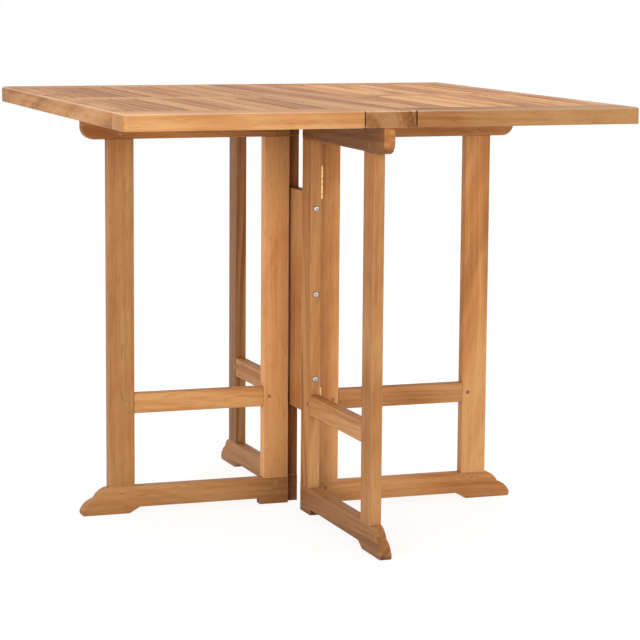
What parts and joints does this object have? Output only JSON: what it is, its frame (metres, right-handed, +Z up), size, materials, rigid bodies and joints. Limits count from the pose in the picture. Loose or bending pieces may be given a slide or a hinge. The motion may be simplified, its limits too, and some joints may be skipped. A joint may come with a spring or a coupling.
{
  "type": "folding garden table",
  "caption": "Square slatted hardwood garden table: drop leaves hinged to a narrow centre board, carried by a fixed trestle and swinging gate frames with moulded feet.",
  "frame": {"origin": "on the floor under the middle of the table", "axes": "+Z up, +X across the leaves to the right, +Y to the back, along the centre board"},
  "size_m": [0.9, 0.9, 0.75],
  "materials": {
    "teak_upright": "oiled, matt",
    "teak_gate": "oiled, matt",
    "teak_depth": "oiled, matt",
    "teak_across": "oiled, matt",
    "teak_slats": "oiled, matt",
    "teak_boards": "oiled, matt",
    "teak_pegs": "oiled, matt",
    "hinge_brass": "satin",
    "screw_steel": "zinc plated, satin"
  },
  "bodies": {
    "base": {"back_frame_cross_rail": "teak_depth", "back_frame_foot": "teak_depth", "back_frame_inner_leg": "teak_upright", "back_frame_outer_leg": "teak_upright", "back_frame_pegs": "teak_pegs", "back_frame_top_rail": "teak_depth", "base_hinge_screws": "hinge_brass", "centre_board": "teak_boards", "front_frame_cross_rail": "teak_depth", "front_frame_foot": "teak_depth", "front_frame_inner_leg": "teak_upright", "front_frame_outer_leg": "teak_upright", "front_frame_pegs": "teak_pegs", "front_frame_top_rail": "teak_depth", "left_gate_hinge_fixed_leaves": "hinge_brass", "left_gate_hinge_pins": "hinge_brass", "left_leaf_hinge_fixed_leaves": "hinge_brass", "left_leaf_hinge_pins": "hinge_brass", "right_gate_hinge_fixed_leaves": "hinge_brass", "right_gate_hinge_pins": "hinge_brass", "right_leaf_hinge_fixed_leaves": "hinge_brass", "right_leaf_hinge_pins": "hinge_brass", "spine_board": "teak_upright", "spine_screws": "screw_steel", "top_screws": "screw_steel"},
    "right_gate": {"right_gate_cross_rail": "teak_gate", "right_gate_foot": "teak_gate", "right_gate_hinge_moving_leaves": "hinge_brass", "right_gate_hinge_screws": "hinge_brass", "right_gate_inner_leg": "teak_upright", "right_gate_outer_leg": "teak_upright", "right_gate_pegs": "teak_pegs", "right_gate_top_rail": "teak_gate"},
    "left_gate": {"left_gate_cross_rail": "teak_gate", "left_gate_foot": "teak_gate", "left_gate_hinge_moving_leaves": "hinge_brass", "left_gate_hinge_screws": "hinge_brass", "left_gate_inner_leg": "teak_upright", "left_gate_outer_leg": "teak_upright", "left_gate_pegs": "teak_pegs", "left_gate_top_rail": "teak_gate"},
    "right_leaf": {"right_leaf_cross_rail": "teak_across", "right_leaf_end_rail_a": "teak_across", "right_leaf_end_rail_b": "teak_across", "right_leaf_hinge_moving_leaves": "hinge_brass", "right_leaf_hinge_screws": "hinge_brass", "right_leaf_inner_stile": "teak_boards", "right_leaf_outer_stile": "teak_boards", "right_leaf_slats_a": "teak_slats", "right_leaf_slats_b": "teak_slats"},
    "left_leaf": {"left_leaf_cross_rail": "teak_across", "left_leaf_end_rail_a": "teak_across", "left_leaf_end_rail_b": "teak_across", "left_leaf_hinge_moving_leaves": "hinge_brass", "left_leaf_hinge_screws": "hinge_brass", "left_leaf_inner_stile": "teak_boards", "left_leaf_outer_stile": "teak_boards", "left_leaf_slats_a": "teak_slats", "left_leaf_slats_b": "teak_slats"}
  },
  "joints": [
    {"name": "right_gate_swing", "type": "hinge", "parent": "base", "child": "right_gate", "pos_m": [0.01295, -0.046, 0], "axis": [0, 0, 1], "range_deg": [-90, 5]},
    {"name": "left_gate_swing", "type": "hinge", "parent": "base", "child": "left_gate", "pos_m": [-0.01295, 0.046, 0], "axis": [0, 0, 1], "range_deg": [-90, 5]},
    {"name": "right_leaf_lift", "type": "hinge", "parent": "base", "child": "right_leaf", "pos_m": [0.045, 0, 0.72495], "axis": [0, 1, 0], "range_deg": [-3, 0]},
    {"name": "left_leaf_lift", "type": "hinge", "parent": "base", "child": "left_leaf", "pos_m": [-0.045, 0, 0.72495], "axis": [0, -1, 0], "range_deg": [-3, 0]}
  ]
}
